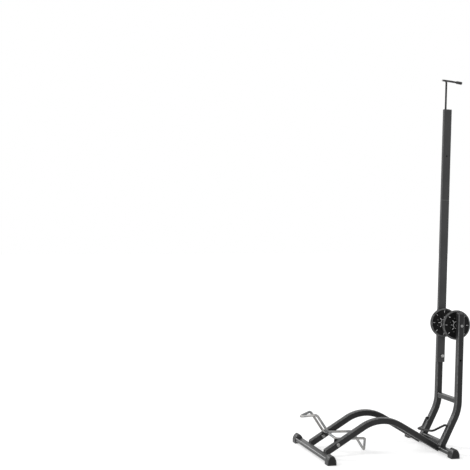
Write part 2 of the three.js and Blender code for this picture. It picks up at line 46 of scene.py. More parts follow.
# Sizes are in millimetres from the middle of the front crossbar, as in the CAD; the two matrices bring them
# into the rack's frame. The post, discs, plugs and hook stand in a group that leans back with the uprights.
# The square tubes and the post are a little wider than their CAD solids and share their inner faces.
layout = {
    "rearCrossbar": 503, "crossbarLength": 432, "crossbarUnderside": 8, "railInnerFaces": 162,
    "uprightSetback": 70, "lean": 1.8, "uprightLegAngle": 27, "seatGap": 0.3, "cutGap": 0.15,
}
stock = {
    "flat": {"width": 30, "height": 15, "corner": 2.5, "wall": 1.5},
    "square": {"width": 25, "height": 25, "corner": 3.5, "wall": 1.5},
    "brace": {"width": 20, "height": 20, "corner": 3, "wall": 1.5},
    "post": {"width": 35, "height": 15, "corner": 2.5, "wall": 1.5},
}
mm = 0.001
alongX, alongY, alongZ = Vector((1, 0, 0)), Vector((0, 1, 0)), Vector((0, 0, 1))
seatGap, cutGap = layout["seatGap"], layout["cutGap"]  # between seated pieces, and where a welded tube stops
frontLow, frontHigh = (Vector(corner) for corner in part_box("front_crossbar"))
frontX = (frontLow.x + frontHigh.x) / 2
crossbarTop = layout["crossbarUnderside"] + stock["flat"]["height"]
crossbarMiddle = layout["crossbarUnderside"] + stock["flat"]["height"] / 2
tubeHalf = stock["square"]["width"] / 2
innerFace = layout["railInnerFaces"] / 2
railY = innerFace + tubeHalf
outerFace = innerFace + 2 * tubeHalf
rearX = layout["rearCrossbar"]
uprightX = rearX + layout["uprightSetback"]
legAngle = math.radians(layout["uprightLegAngle"])
leanAngle = math.radians(layout["lean"])
bothSides = (("left", 1), ("right", -1))


def shift(x, y, z):
    return Matrix.Translation((x, y, z))


inRack = shift(frontX, 0, 0) @ Matrix.Scale(mm, 4)
inLean = shift(frontX + uprightX * mm, 0, 0) @ Matrix.Rotation(leanAngle, 4, "Y") @ Matrix.Scale(mm, 4)


# finishes: linear base colours, then how the surface varies

def addNode(tree, kind, inputs=None, **settings):
    made = tree.nodes.new(kind)
    for key, value in settings.items():
        setattr(made, key, value)
    for key, value in (inputs or {}).items():
        if isinstance(value, bpy.types.NodeSocket):
            tree.links.new(value, made.inputs[key])
        else:
            made.inputs[key].default_value = value
    return made


def grey(level, tint=(1, 1, 1)):
    return (level * tint[0], level * tint[1], level * tint[2], 1)


paint = {
    "dust": grey(0.07), "roughness": (0.3, 0.4), "metallic": 0, "mottle": 9, "grain": 950, "grainDepth": 0.00005,
}
plastic = {"metallic": 0, "grain": 1700, "grainDepth": 0.00006}
finishes = {
    # its paler edge colour is partly wear and partly a painted highlight along the tube edges
    "greyPaint": {
        **paint, "dark": grey(0.01, (1, 1, 1.04)), "light": grey(0.017, (1, 1, 1.03)), "wornAndLit": grey(0.26),
        "specular": 0.26, "wornAndLitAmount": 0.5, "dustAmount": 0.06,
    },
    # the grey paint with a much paler edge colour: a painted highlight line along the crossbars' edges
    "crossbarPaintEdgeHighlit": {
        **paint, "dark": grey(0.011, (1, 1, 1.04)), "light": grey(0.019, (1, 1, 1.03)), "wornAndLit": grey(0.6),
        "specular": 0.28, "wornAndLitAmount": 0.62, "dustAmount": 0.05,
    },
    "postPaint": {
        **paint, "dark": grey(0.042, (1, 1, 1.03)), "light": grey(0.053, (1, 1, 1.02)), "wornAndLit": grey(0.16),
        "dust": grey(0.12), "roughness": (0.34, 0.46), "specular": 0.25, "wornAndLitAmount": 0.4, "dustAmount": 0.1,
    },
    "blackBar": {
        "dark": grey(0.006), "light": grey(0.012), "wornAndLit": grey(0.08), "dust": grey(0.08),
        "roughness": (0.28, 0.42), "metallic": 0, "specular": 0.35, "mottle": 14, "grain": 900,
        "grainDepth": 0.00005, "wornAndLitAmount": 0.35, "dustAmount": 0.08,
    },
    "brightZinc": {
        "dark": grey(0.17, (0.96, 1, 1.05)), "light": grey(0.33, (1.03, 1, 0.96)), "wornAndLit": grey(0.14),
        "dust": grey(0.2), "roughness": (0.34, 0.48), "metallic": 1, "specular": 0.5, "mottle": 34,
        "grain": 600, "grainDepth": 0.000006, "wornAndLitAmount": 0.3, "dustAmount": 0.12,
    },
    "blackPlastic": {
        **plastic, "dark": grey(0.004), "light": grey(0.009), "wornAndLit": grey(0.12), "dust": grey(0.05),
        "roughness": (0.34, 0.48), "specular": 0.26, "mottle": 18, "wornAndLitAmount": 0.45, "dustAmount": 0.14,
    },
    # its near-white edge colour is a painted highlight on the rib and tick tops and the rim shoulders
    "discPlastic": {
        **plastic, "dark": grey(0.003), "light": grey(0.006), "wornAndLit": grey(0.85), "dust": grey(0.04),
        "roughness": (0.4, 0.52), "specular": 0.14, "mottle": 30, "wornAndLitAmount": 0.95, "dustAmount": 0.1,
    },
    "steel": {
        "dark": grey(0.22, (1, 1, 1.01)), "light": grey(0.36, (1.01, 1, 0.97)), "wornAndLit": grey(0.55),
        "dust": grey(0.26), "roughness": (0.3, 0.46), "metallic": 1, "specular": 0.5, "mottle": 60,
        "grain": 1300, "grainDepth": 0.00003, "wornAndLitAmount": 0.4, "dustAmount": 0.1,
    },
}


def makeFinish(name, look):
    material = bpy.data.materials.new(name)
    material.use_nodes = True
    tree = material.node_tree
    shader = tree.nodes["Principled BSDF"]
    place = addNode(tree, "ShaderNodeTexCoord").outputs["Object"]

    def cloud(scale, detail=3.0, rough=0.55):
        return addNode(tree, "ShaderNodeTexNoise", {
            "Vector": place, "Scale": scale, "Detail": detail, "Roughness": rough,
        }).outputs["Fac"]

    def spread(value, low, high, toLow=0.0, toHigh=1.0):
        return addNode(tree, "ShaderNodeMapRange", {
            "Value": value, "From Min": low, "From Max": high, "To Min": toLow, "To Max": toHigh,
        }).outputs["Result"]

    def times(first, second):
        return addNode(tree, "ShaderNodeMath", {0: first, 1: second}, operation="MULTIPLY").outputs[0]

    def blendColours(amount, first, second):
        return addNode(tree, "ShaderNodeMix", {0: amount, 6: first, 7: second}, data_type="RGBA").outputs[2]

    # broad mottling, fine speckle, wear and a painted highlight on the edges, and dust on what faces up
    mottle = spread(cloud(look["mottle"]), 0.36, 0.64)
    speckle = spread(cloud(look["grain"] * 0.45, 2.0), 0.4, 0.62, 0.0, 0.35)
    colour = blendColours(mottle, look["dark"], look["light"])
    colour = blendColours(speckle, colour, look["light"])
    # the edge colour is partly wear and partly a painted highlight standing in for light on the edges
    edge = addNode(tree, "ShaderNodeAttribute", attribute_name="edgeWearAndHighlight").outputs["Fac"]
    patchy = spread(cloud(120, 4.0, 0.65), 0.38, 0.6, look["wornAndLitAmount"] * 0.6, look["wornAndLitAmount"] * 1.5)
    wornAndLitMix = times(edge, patchy)
    colour = blendColours(wornAndLitMix, colour, look["wornAndLit"])
    facing = addNode(tree, "ShaderNodeSeparateXYZ", {
        0: addNode(tree, "ShaderNodeNewGeometry").outputs["Normal"],
    }).outputs["Z"]
    drift = spread(cloud(38, 5.0, 0.7), 0.42, 0.7, 0.0, look["dustAmount"])
    settled = times(spread(facing, 0.35, 0.95), drift)
    colour = blendColours(settled, colour, look["dust"])
    tree.links.new(colour, shader.inputs["Base Color"])

    low, high = look["roughness"]
    smear = spread(cloud(33, 4.0, 0.6), 0.35, 0.68, low, high)
    polished = addNode(tree, "ShaderNodeMath", {0: smear, 1: times(wornAndLitMix, 0.12)}, operation="SUBTRACT")
    tree.links.new(polished.outputs[0], shader.inputs["Roughness"])

    fine = addNode(tree, "ShaderNodeBump", {
        "Strength": 0.6, "Distance": look["grainDepth"], "Height": cloud(look["grain"], 2.0),
    })
    wavy = addNode(tree, "ShaderNodeBump", {
        "Strength": 0.5, "Distance": look["grainDepth"] * 2.2, "Height": cloud(look["grain"] * 0.18, 2.0),
        "Normal": fine.outputs[0],
    })
    tree.links.new(wavy.outputs[0], shader.inputs["Normal"])
    shader.inputs["Metallic"].default_value = look["metallic"]
    shader.inputs["Specular IOR Level"].default_value = look["specular"]
    return material


materials = {name: makeFinish(name, look) for name, look in finishes.items()}
print("finishes made:", ", ".join(materials))


# tools that build the meshes; sharp edges get the mark for edge wear and a painted highlight, starting at the
# first angle in meshRules and full after its span more

meshRules = {"wornAndLitFrom": 0.14, "wornAndLitSpan": 0.16, "holeReach": 0.52, "edgeRing": 2.5}


def keepPiece(bm, name, body, finish, matrix, replaced=(), sharpAngle=32, cutters=(), markWornAndLitEdges=True,
              holes=()):
    # turns the mesh into a piece of the rack: drills it, marks its edges for wear and a painted highlight and lets
    # it ride on its body; holes lists the (x, z, diameter) of drilled holes, whose edges stay plain paint with no
    # mark
    bmesh.ops.recalc_face_normals(bm, faces=bm.faces)
    mesh = bpy.data.meshes.new(name)
    bm.to_mesh(mesh)
    bm.free()
    piece = bpy.data.objects.new(name, mesh)
    bpy.context.scene.collection.objects.link(piece)
    for operation, tool in cutters:
        toolMesh = bpy.data.meshes.new(name + "Tool")
        bmesh.ops.recalc_face_normals(tool, faces=tool.faces)
        tool.to_mesh(toolMesh)
        tool.free()
        toolPiece = bpy.data.objects.new(name + "Tool", toolMesh)
        bpy.context.scene.collection.objects.link(toolPiece)
        step = piece.modifiers.new(operation, "BOOLEAN")
        step.operation = operation
        step.solver = "EXACT"
        step.object = toolPiece
        graph = bpy.context.evaluated_depsgraph_get()
        done = bpy.data.meshes.new_from_object(piece.evaluated_get(graph))
        piece.modifiers.clear()
        piece.data = done
        bpy.data.objects.remove(toolPiece)
    mesh = piece.data
    mesh.name = name
    if markWornAndLitEdges:
        marked = bmesh.new()
        marked.from_mesh(mesh)
        layer = marked.verts.layers.float.new("edgeWearAndHighlight")
        for vert in marked.verts:
            if callable(markWornAndLitEdges):
                vert[layer] = markWornAndLitEdges(vert.co)
            else:
                # sharper edges get more edge wear and painted highlight
                sharpest = max((link.calc_face_angle_signed(0) for link in vert.link_edges), default=0)
                wornAndLit = min(max((sharpest - meshRules["wornAndLitFrom"]) / meshRules["wornAndLitSpan"], 0), 1)
                inHole = any(
                    math.hypot(vert.co.x - x, vert.co.z - z) < size * meshRules["holeReach"]
                    for x, z, size in holes
                )
                vert[layer] = 0 if inHole else wornAndLit
        marked.to_mesh(mesh)
        marked.free()
    mesh.transform(matrix)
    mesh.shade_smooth()
    mesh.set_sharp_from_angle(angle=math.radians(sharpAngle))
    mesh.materials.clear()
    mesh.materials.append(materials[finish])
    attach(piece, body)
    if replaced:
        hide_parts(*replaced)
    return piece


def paintNode(name, finish):
    # gives a solid that keeps its CAD shape its finish
    for slotOnNode in nodes[name].material_slots:
        slotOnNode.material = materials[finish]
    return nodes[name]


def bentStations(corners, radii, steps=12, loop=False):
    # straight runs with each corner rounded, as (place, direction) where the bar starts, bends and ends
    corners = [Vector(corner) for corner in corners]
    stations = []
    last = len(corners) - 1
    for i, corner in enumerate(corners):
        before, after = corners[i - 1], corners[(i + 1) % len(corners)]
        if not loop and i in (0, last):
            direction = (after - corner) if i == 0 else (corner - before)
            stations.append((corner, direction.normalized()))
            continue
        inward = (corner - before).normalized()
        outward = (after - corner).normalized()
        turn = inward.angle(outward)
        start = corner - inward * (radii[i] * math.tan(turn / 2))
        toCentre = (outward - inward * inward.dot(outward)).normalized()
        for k in range(steps + 1):
            angle = turn * k / steps
            spot = start + inward * (radii[i] * math.sin(angle))
            spot += toCentre * (radii[i] * (1 - math.cos(angle)))
            stations.append((spot, (inward * math.cos(angle) + toCentre * math.sin(angle)).normalized()))
    return stations


def evenStations(points, spacing, loop=False):
    # the same line walked at an even pace
    points = [Vector(p) for p in points] + ([Vector(points[0])] if loop else [])
    lengths = [0.0]
    for a, b in zip(points, points[1:]):
        lengths.append(lengths[-1] + (b - a).length)
    count = max(3, round(lengths[-1] / spacing))
    places = []
    k = 0
    for i in range(count if loop else count + 1):
        target = lengths[-1] * i / count
        while k < len(points) - 2 and lengths[k + 1] < target:
            k += 1
        span = lengths[k + 1] - lengths[k] or 1
        places.append(points[k].lerp(points[k + 1], (target - lengths[k]) / span))
    stations = []
    for i, place in enumerate(places):
        ahead = places[(i + 1) % len(places)] if loop or i + 1 < len(places) else place
        behind = places[i - 1] if loop or i else place
        stations.append((place, (ahead - behind).normalized()))
    return stations


def roundedOutline(width, height, corner, steps=6, support=1.4):
    points = []
    for quarter, (sx, sy) in enumerate(((1, -1), (1, 1), (-1, 1), (-1, -1))):
        x, y = sx * (width / 2 - corner), sy * (height / 2 - corner)
        arc = [(quarter - 1 + k / steps) * math.pi / 2 for k in range(steps + 1)]
        first, final = arc[0], arc[-1]
        around = [(x + corner * math.cos(a), y + corner * math.sin(a)) for a in arc]
        lead = (around[0][0] + support * math.sin(first), around[0][1] - support * math.cos(first))
        trail = (around[-1][0] - support * math.sin(final), around[-1][1] + support * math.cos(final))
        points += [lead, *around, trail]
    return points


def circleOutline(radius, sides=24):
    angles = [2 * math.pi * k / sides for k in range(sides)]
    return [(radius * math.cos(a), radius * math.sin(a)) for a in angles]


def ringAt(bm, station, outline, side, plane=None):
    place, direction = station
    across = direction.cross(side)
    ring = []
    for a, b in outline:
        spot = place + side * a + across * b
        if plane:
            point, normal = plane
            spot += direction * ((point - spot).dot(normal) / direction.dot(normal))
        ring.append(bm.verts.new(spot))
    return ring


def skinRings(bm, rings, loop=False, capEnds=True):
    pairs = list(zip(rings, rings[1:])) + ([(rings[-1], rings[0])] if loop else [])
    for first, second in pairs:
        for k in range(len(first)):
            m = (k + 1) % len(first)
            bm.faces.new((first[k], first[m], second[m], second[k]))
    if capEnds and not loop:
        bm.faces.new(rings[0])
        bm.faces.new(rings[-1][::-1])


def tubeMesh(stations, section, side, planes=(None, None)):
    # a hollow tube: its outside, its bore and the two cut faces between them
    bm = bmesh.new()
    wall = section["wall"]
    shells = []
    for inset, corner in ((0, section["corner"]), (wall, max(section["corner"] - wall, 0.6))):
        outline = roundedOutline(section["width"] - 2 * inset, section["height"] - 2 * inset, corner)
        rings = []
        for i, station in enumerate(stations):
            first, last = i == 0, i == len(stations) - 1
            plane = planes[0] if first else planes[1] if last else None
            ring = ringAt(bm, station, outline, side, plane)
            if first or last:
                # a second ring just inside the cut keeps the edge wear and painted highlight at the edge
                inward = station[1] * meshRules["edgeRing"] * (1 if first else -1)
                shifted = (plane[0] + inward, plane[1]) if plane else None
                near = ringAt(bm, (station[0] + inward, station[1]), outline, side, shifted)
                rings += [ring, near] if first else [near, ring]
            else:
                rings.append(ring)
        skinRings(bm, rings, capEnds=False)
        shells.append(rings)
    for end in (0, -1):
        skinRings(bm, [shells[0][end], shells[1][end]], capEnds=False)
    return bm


def straightRun(x, z, fromY, toY):
    return [(Vector((x, y, z)), alongY) for y in (fromY, toY)]


def withStops(stations, stops):
    # adds stations on the straight runs, so that what is marked near a hole stays near it
    for stop in stops:
        for i, ((a, direction), (b, other)) in enumerate(zip(stations, stations[1:])):
            along = (Vector(stop) - a).dot(direction)
            if 1 < along < (b - a).length - 1 and direction.dot((b - a).normalized()) > 0.9999:
                stations = stations[:i + 1] + [(a + direction * along, direction)] + stations[i + 1:]
                break
    return stations


def rodSides(stations, loop=False):
    # carries a side direction along the rod with no twist, and shares out what a closed loop leaves over
    side = stations[0][1].orthogonal().normalized()
    sides = []
    for place, direction in stations:
        side = (side - direction * side.dot(direction)).normalized()
        sides.append(side)
    if loop:
        start, axis = sides[0], stations[0][1]
        back = (sides[-1] - axis * sides[-1].dot(axis)).normalized()
        twist = math.atan2(start.cross(back).dot(axis), start.dot(back))
        count = len(stations)
        sides = [
            Matrix.Rotation(-twist * i / count, 3, direction) @ sides[i]
            for i, (place, direction) in enumerate(stations)
        ]
    return sides


def rodMesh(stations, radius, loop=False, sides=24, planes=(None, None), swell=None):
    bm = bmesh.new()
    rings = []
    turned = rodSides(stations, loop)
    for i, station in enumerate(stations):
        plane = planes[0] if i == 0 else planes[1] if i == len(stations) - 1 else None
        size = radius * (swell(i, station[0]) if swell else 1)
        rings.append(ringAt(bm, station, circleOutline(size, sides), turned[i], plane))
    skinRings(bm, rings, loop)
    return bm


def latheMesh(profile, sides=48, closed=False, hexes=None):
    # turns (radius, height) about Y; hexes makes those profile points hexagons, cut back to the given radius
    bm = bmesh.new()
    rings = []
    for i, (radius, height) in enumerate(profile):
        ring = []
        for k in range(sides):
            angle = 2 * math.pi * k / sides
            size = radius
            if hexes and i in hexes:
                size = radius / math.cos((angle % (math.pi / 3)) - math.pi / 6)
                size = min(size, hexes[i])
            ring.append(bm.verts.new((size * math.cos(angle), height, size * math.sin(angle))))
        rings.append(ring)
    skinRings(bm, rings, loop=closed, capEnds=not closed)
    return bm


def joined(*parts):
    whole = bmesh.new()
    for part in parts:
        scratch = bpy.data.meshes.new("scratch")
        part.to_mesh(scratch)
        part.free()
        whole.from_mesh(scratch)
        bpy.data.meshes.remove(scratch)
    return whole


def moved(bm, matrix):
    bmesh.ops.transform(bm, matrix=matrix, verts=bm.verts)
    return bm


def halfTurn(sign):
    # the right side's turned parts are the left's turned half round about Z
    return Matrix.Identity(4) if sign > 0 else Matrix.Rotation(math.pi, 4, "Z")


# weld beads, rippled along their length

weld = {"radius": 1.5, "ripple": 0.2, "rough": 0.3, "pitch": 2.3, "spacing": 0.6, "sharpAngle": 80}


def weldBead(points, loop, seed):
    stations = evenStations(points, weld["spacing"], loop)

    def swell(i, place):
        wave = math.sin(2 * math.pi * i * weld["spacing"] / weld["pitch"])
        rough = noise.noise(place * 0.4 + Vector((seed * 7.3, 0, 0)))
        return 1 + weld["ripple"] * wave + weld["rough"] * rough
    return rodMesh(stations, weld["radius"], loop, sides=10, swell=swell)


def keepWelds(beads, name, body, finish):
    keepPiece(joined(*beads), name, body, finish, inRack, markWornAndLitEdges=False, sharpAngle=weld["sharpAngle"])


def rectangleLoop(centre, alongA, alongB, corner=2.0):
    a, b = Vector(alongA), Vector(alongB)
    corners = [Vector(centre) + a * sa + b * sb for sa, sb in ((1, 1), (-1, 1), (-1, -1), (1, -1))]
    return [place for place, direction in bentStations(corners, [corner] * 4, 5, loop=True)]


# crossbars, foot caps and arched rails

footCap = {
    "width": 35.5, "height": 38, "beyondTube": 14, "overTube": 22.5, "edge": 2.2, "sides": 96,
    "socketGap": 0.2, "socketCorner": 2.5,
    "arch": [(0, 1), (0.14, 0.99), (0.27, 0.96), (0.4, 0.92), (0.52, 0.87), (0.64, 0.8), (0.76, 0.71),
             (0.86, 0.61), (0.93, 0.53), (0.98, 0.44), (1, 0.37)],
}


def capRadius(angle, outline, centre):
    # how far the outline lies from the centre in that direction
    ray = (math.cos(angle), math.sin(angle))
    best = 0
    for (ax, ay), (bx, by) in zip(outline, outline[1:] + outline[:1]):
        ax, ay, bx, by = ax - centre[0], ay - centre[1], bx - centre[0], by - centre[1]
        ex, ey = bx - ax, by - ay
        cross = ray[0] * ey - ray[1] * ex
        if abs(cross) < 1e-9:
            continue
        reach = (ax * ey - ay * ex) / cross
        part = (ax * ray[1] - ay * ray[0]) / cross
        if reach > 0 and -1e-6 <= part <= 1 + 1e-6:
            best = max(best, reach)
    return best


def footCapMesh():
    half, top = footCap["width"] / 2, footCap["height"]
    flank = [(x * half, z * top) for x, z in footCap["arch"]]
    outline = [(-half + 1, 0), (half - 1, 0), (half, 1), *flank[::-1]]
    outline += [(-x, z) for x, z in flank[1:]] + [(-half, 1)]
    centre = (0, crossbarMiddle)
    width, height = (stock["flat"][key] + 2 * footCap["socketGap"] for key in ("width", "height"))
    socket = [(x, z + crossbarMiddle) for x, z in roundedOutline(width, height, footCap["socketCorner"])]
    angles = [2 * math.pi * (k + 0.5) / footCap["sides"] for k in range(footCap["sides"])]
    # the sharp bottom corners get rays of their own
    bottom = math.atan2(-centre[1], half - 1)
    side = math.atan2(1 - centre[1], half)
    angles += [a % (2 * math.pi) for a in (bottom, side, math.pi - bottom, math.pi - side)]
    angles.sort()
    outer = [capRadius(a, outline, centre) for a in angles]
    inner = [capRadius(a, socket, centre) for a in angles]
    edge, beyond, over = footCap["edge"], footCap["beyondTube"], footCap["overTube"]
    bm = bmesh.new()

    def ring(sizes, y, inset=0):
        made = []
        for angle, size in zip(angles, sizes):
            x = (size - inset) * math.cos(angle)
            z = centre[1] + (size - inset) * math.sin(angle)
            made.append(bm.verts.new((x, y, max(z, 0))))
        return made
    rings = [ring(inner, 0.4), ring(inner, -over + 0.8), ring([i + 0.4 for i in inner], -over)]
    rings += [ring(outer, -over, 1.0), ring(outer, -over + 0.3, 0.3), ring(outer, -over + 1)]
    rings += [ring(outer, -over + 4), ring(outer, beyond - edge - 3)]
    for k in range(6):
        angle = k * math.pi / 10
        rings.append(ring(outer, beyond - edge + edge * math.sin(angle), edge * (1 - math.cos(angle))))
    rings += [ring(outer, beyond, edge + 1.4)]
    rings += [ring(outer, beyond - 0.5, edge + 2.2), ring(outer, beyond - 0.5, edge + 5)]
    skinRings(bm, rings)
    return bm


for end, x in (("front", 0), ("rear", rearX)):
    halfLength = layout["crossbarLength"] / 2
    bar = tubeMesh(straightRun(x, crossbarMiddle, -halfLength, halfLength), stock["flat"], alongX)
    keepPiece(bar, end + "Crossbar", "frame", "crossbarPaintEdgeHighlit", inRack, (end + "_crossbar",))
    for side, sign in bothSides:
        cap = moved(footCapMesh(), shift(x, sign * halfLength, 0) @ halfTurn(sign))
        keepPiece(cap, f"{end}Cap{side.title()}", "frame", "blackPlastic", inRack, (f"{end}_cap_{side}",))

rails = {
    "legAngle": 31, "bendRadius": 150, "rootHeight": 18.5, "bendSteps": 32,
    "plate": {"low": 5.4, "high": 31.6, "thick": 1.6, "inside": 1.1, "sideGap": 1.3},
}
faceX = stock["flat"]["width"] / 2
rearFaceX = rearX - faceX


def railRoute(y):
    middle = rearX / 2
    rise = (middle - faceX) * math.tan(math.radians(rails["legAngle"]))
    root = rails["rootHeight"]
    return [(faceX, y, root), (middle, y, root + rise), (rearFaceX, y, root)]


def rootBead(x, y):
    # the bead goes up one side of the rail's root, over the crossbar and down the other side
    low, high = layout["crossbarUnderside"] + 1.5, crossbarTop - 0.5
    inner, outer = y - tubeHalf, y + tubeHalf
    line = [(x, inner, low), (x, inner, high), (x, inner + 2, high + 0.6), (x, outer - 2, high + 0.6)]
    return weldBead([*line, (x, outer, high), (x, outer, low)], False, x + y)


def endPlate(x, y, inward):
    # closes the end of the tube above and below the crossbar
    plate = rails["plate"]
    bm = bmesh.new()
    corners = bmesh.ops.create_cube(bm, size=1)["verts"]
    size = (plate["thick"], 2 * (tubeHalf - plate["sideGap"]), plate["high"] - plate["low"])
    bmesh.ops.scale(bm, vec=size, verts=corners)
    middle = (x + inward * plate["inside"], y, (plate["low"] + plate["high"]) / 2)
    bmesh.ops.translate(bm, vec=middle, verts=corners)
    return bm


welds = []
for side, sign in bothSides:
    y = sign * railY
    stations = bentStations(railRoute(y), [0, rails["bendRadius"], 0], rails["bendSteps"])
    cuts = tuple((Vector((x, 0, 0)), alongX) for x in (faceX + cutGap, rearFaceX - cutGap))
    rail = tubeMesh(stations, stock["square"], alongY, cuts)
    keepPiece(rail, "archRail" + side.title(), "frame", "greyPaint", inRack, ("arch_rail_" + side,))
    for x, inward in ((faceX, 1), (rearFaceX, -1)):
        welds += [rootBead(x, y), endPlate(x, y, inward)]
print("base made")

# the two uprights, their braces and the wheel stop

uprights = {
    "footOffset": 3, "bendRadius": 160, "bendSteps": 20, "discHeight": 503, "aboveDiscs": 49, "postBolt": 364,
    "boltHole": 8.3, "drillReach": 15, "stopBeside": 7, "upperBrace": 199, "plugStem": 18,
}


def legX(height):
    return rearX + uprights["footOffset"] + (height - crossbarTop) * math.tan(legAngle)


def onUpright(along, y=0):
    return Vector((uprightX + along * math.sin(leanAngle), y, along * math.cos(leanAngle)))


def uprightRoute(y):
    slope, leanSlope = math.tan(legAngle), math.tan(leanAngle)
    kneeZ = (uprightX - footX + slope * crossbarTop) / (slope - leanSlope)
    return [(footX, y, crossbarTop), (uprightX + leanSlope * kneeZ, y, kneeZ), onUpright(uprightHeight, y)]


def drillAt(x, z, fromY, toY, diameter):
    return rodMesh(straightRun(x, z, fromY, toY), diameter / 2, sides=40)


discHeight, boltHeight = uprights["discHeight"], uprights["postBolt"]
uprightHeight = discHeight + uprights["aboveDiscs"]
footX = legX(crossbarTop)
boltHole, besideHole = uprights["boltHole"], (-uprights["stopBeside"], uprights["stopBeside"])
drilled = (discHeight, boltHeight)
for side, sign in bothSides:
    y = sign * railY
    stations = bentStations(uprightRoute(y), [0, uprights["bendRadius"], 0], uprights["bendSteps"])
    stations = withStops(stations, [onUpright(height + step, y) for height in drilled for step in besideHole])
    foot = (Vector((0, 0, crossbarTop + cutGap)), alongZ)
    upright = tubeMesh(stations, stock["square"], alongY, (foot, None))
    spots = [onUpright(height) for height in drilled]
    reach = uprights["drillReach"]
    drills = [drillAt(spot.x, spot.z, y - reach, y + reach, boltHole) for spot in spots]
    keepPiece(upright, "upright" + side.title(), "frame", "greyPaint", inRack, ("upright_" + side,),
              cutters=(("DIFFERENCE", joined(*drills)),), holes=[(spot.x, spot.z, boltHole) for spot in spots])
    halfFoot = tubeHalf / math.cos(legAngle)
    footLoop = rectangleLoop((footX + 0.2, y, crossbarTop + 0.4), (halfFoot, 0, 0), (0, tubeHalf, 0), 2.5)
    welds.append(weldBead(footLoop, True, y))

braceHalf = stock["brace"]["width"] / 2
upperSpot = onUpright(uprights["upperBrace"])
lowerBrace = (footX + braceHalf * math.tan(legAngle), crossbarTop + braceHalf)
for name, (x, z) in (("lower", lowerBrace), ("upper", (upperSpot.x, upperSpot.z))):
    run = straightRun(x, z, cutGap - innerFace, innerFace - cutGap)
    keepPiece(tubeMesh(run, stock["brace"], alongX), name + "Brace", "frame", "greyPaint", inRack,
              (name + "_brace",))
    for side, sign in bothSides:
        edge = rectangleLoop((x, sign * innerFace, z), (braceHalf, 0, 0), (0, 0, braceHalf), 3)
        welds.append(weldBead(edge, True, z + sign))

wheelStop = {
    "diameter": 9, "endHeight": 96, "shoulder": (25, 182, 108), "elbow": (-15, 98, 75), "point": (-58, 0, 78),
    "startInside": (9, 4.5), "bends": (9, 40, 18), "bendSteps": 14, "beadOut": 0.3,
}
endZ = wheelStop["endHeight"]
faceNormal = Vector((math.cos(legAngle), 0, -math.sin(legAngle)))
frontFace = (Vector((legX(endZ), 0, endZ)) - faceNormal * (tubeHalf + cutGap), faceNormal)


def stopStations():
    # the bar starts inside each upright and meets in a blunt point between them
    def flank(sign):
        corners = [
            Vector((rearX + setback, sign * width / 2, height))
            for setback, width, height in (wheelStop["shoulder"], wheelStop["elbow"])
        ]
        back, down = wheelStop["startInside"]
        start = legX(endZ) - tubeHalf / math.cos(legAngle) + back
        return [Vector((start, corners[0].y, endZ - down)), *corners]
    setback, width, height = wheelStop["point"]
    tip = Vector((rearX + setback, width, height))
    shoulderBend, elbowBend, tipBend = wheelStop["bends"]
    bends = [0, shoulderBend, elbowBend, tipBend, elbowBend, shoulderBend, 0]
    return bentStations([*flank(-1), tip, *flank(1)[::-1]], bends, wheelStop["bendSteps"])


def stopBead(station, seed):
    # a ring round the bar where it meets the upright's front face
    place, direction = station
    point, facing = frontFace
    spot = place + direction * ((point - place).dot(facing) / direction.dot(facing))
    up = facing.cross(alongY)
    ring = circleOutline(wheelStop["diameter"] / 2 + wheelStop["beadOut"])
    return weldBead([spot + alongY * a + up * b for a, b in ring], True, seed)


stations = stopStations()
stopRod = rodMesh(stations, wheelStop["diameter"] / 2, planes=(frontFace, frontFace))
keepPiece(stopRod, "wheelStop", "frame", "blackBar", inRack, ("wheel_stop",), markWornAndLitEdges=False)
keepWelds([stopBead(stations[i], i) for i in (0, -1)], "stopWelds", "frame", "blackBar")
keepWelds(welds, "frameWelds", "frame", "greyPaint")
print("upright frame made")

# the cradle is one closed loop of round bar

cradle = {
    "rod": 10, "pivot": (67, 50.5), "nose": (125, 97.5), "shoulder": (66, 108.5), "knee": (15, 31.5),
    "sideStart": 4, "sideRise": 17.5, "sideLength": 119, "sideDrop": 3, "noseWidth": 84, "sideWidth": 144,
    "veeReach": 146, "bend": 14, "noseBend": 9, "bendSteps": 10, "floorClearance": 1,
    "lugThickness": 3, "lugRound": 0.0004,
    "lugBead": {"run": (-6, 8), "below": 3.6, "beside": (4.6, 1.7)},
}
pivotX, pivotZ = cradle["pivot"]
rodY = cradle["sideWidth"] / 2


def cradleStations():
    noseY = cradle["noseWidth"] / 2
    start = pivotX + cradle["sideStart"]
    endX, endZ = start + cradle["sideLength"], pivotZ + cradle["sideRise"] - cradle["sideDrop"]
    lowest = cradle["rod"] / 2 + cradle["floorClearance"]
    turn = 2 * math.atan2(endZ - lowest, rodY)
    cutOff = cradle["bend"] * (1 / math.cos(turn / 2) - 1)
    vee = (pivotX + cradle["veeReach"], 0, lowest - cutOff)

    def towardsNose(key, y):
        reach, rise = cradle[key]
        return (pivotX - reach, y, pivotZ + rise)

    def flank(sign):
        return [
            towardsNose("shoulder", sign * noseY), towardsNose("knee", sign * noseY),
            (start, sign * rodY, pivotZ + cradle["sideRise"]), (endX, sign * rodY, endZ),
        ]
    corners = [towardsNose("nose", 0), *flank(-1), vee, *flank(1)[::-1]]
    radii = [cradle["noseBend"]] + [cradle["bend"]] * (len(corners) - 1)
    return bentStations(corners, radii, cradle["bendSteps"], loop=True)


loopMesh = rodMesh(cradleStations(), cradle["rod"] / 2, loop=True)
keepPiece(loopMesh, "wheelCradle", "cradle", "brightZinc", inRack, ("wheel_cradle",), markWornAndLitEdges=False)

# fasteners are turned about Y with their heads towards +Y

fastener = {
    "bolt": {"shank": 4, "head": 7.5, "height": 4.5, "socket": 2.5, "socketDepth": 2.4, "thread": 12},
    "screw": {"shank": 2.5, "head": 4.75, "height": 2.8, "socket": 1.5, "socketDepth": 1.5, "thread": 3},
    "nut": {"acrossFlats": 13, "height": 6.5}, "washer": {"outer": 8, "thick": 1.6},
    "bore": 4.15, "threadPitch": 1.25, "sides": 48,
}
boltBore, washer, nutHeight = fastener["bore"], fastener["washer"], fastener["nut"]["height"]


